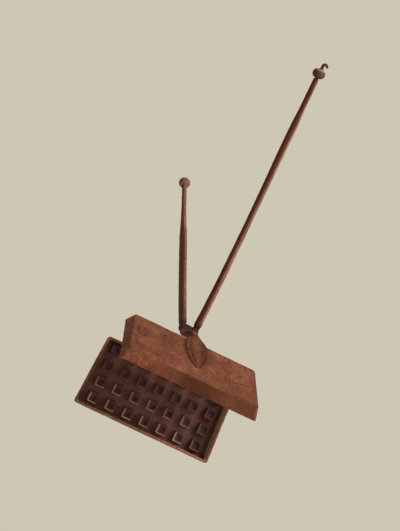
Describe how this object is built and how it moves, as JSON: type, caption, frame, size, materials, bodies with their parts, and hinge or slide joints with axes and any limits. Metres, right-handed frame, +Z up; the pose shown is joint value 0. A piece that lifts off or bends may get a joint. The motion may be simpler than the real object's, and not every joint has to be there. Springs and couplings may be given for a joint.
{
  "type": "fireplace waffle iron",
  "caption": "Hearth waffle iron with oblong hinged cast pans, raised squares inside, on crossed forged arms with ball ends and a small hook to hang it by.",
  "frame": {"origin": "inside of the hanging hook's bend, where a nail bears", "axes": "+Z up along the hooked arm, +X along the hinge rivet towards the side the hook bends to, -Y the way the rear pan opens"},
  "size_m": [0.2344, 0.5494, 0.6372],
  "materials": {
    "cast_iron": "rough casting with an even red-brown rust",
    "wrought_iron": "hammered and worn, dark with red-brown rust",
    "rivet_iron": "hammered, rusted",
    "knob_iron": "smooth from handling, dark brown",
    "hook_iron": "nearly black wire"
  },
  "bodies": {
    "hooked_half": {"rear_plate": "cast_iron", "hooked_arm": "wrought_iron", "pivot_rivet": "rivet_iron", "rear_leaf_rivet_1": "rivet_iron", "rear_leaf_rivet_2": "rivet_iron", "rear_leaf_rivet_3": "rivet_iron", "hooked_knob": "knob_iron", "hanging_hook": "hook_iron"},
    "plain_half": {"front_plate": "cast_iron", "plain_arm": "wrought_iron", "front_leaf_rivet_1": "rivet_iron", "front_leaf_rivet_2": "rivet_iron", "front_leaf_rivet_3": "rivet_iron", "plain_knob": "knob_iron"}
  },
  "joints": [
    {"name": "rivet_hinge", "type": "hinge", "parent": "hooked_half", "child": "plain_half", "pos_m": [-0.015, 0.012, -0.45785], "axis": [-1, 0, 0], "range_deg": [-59.24, 90]}
  ]
}
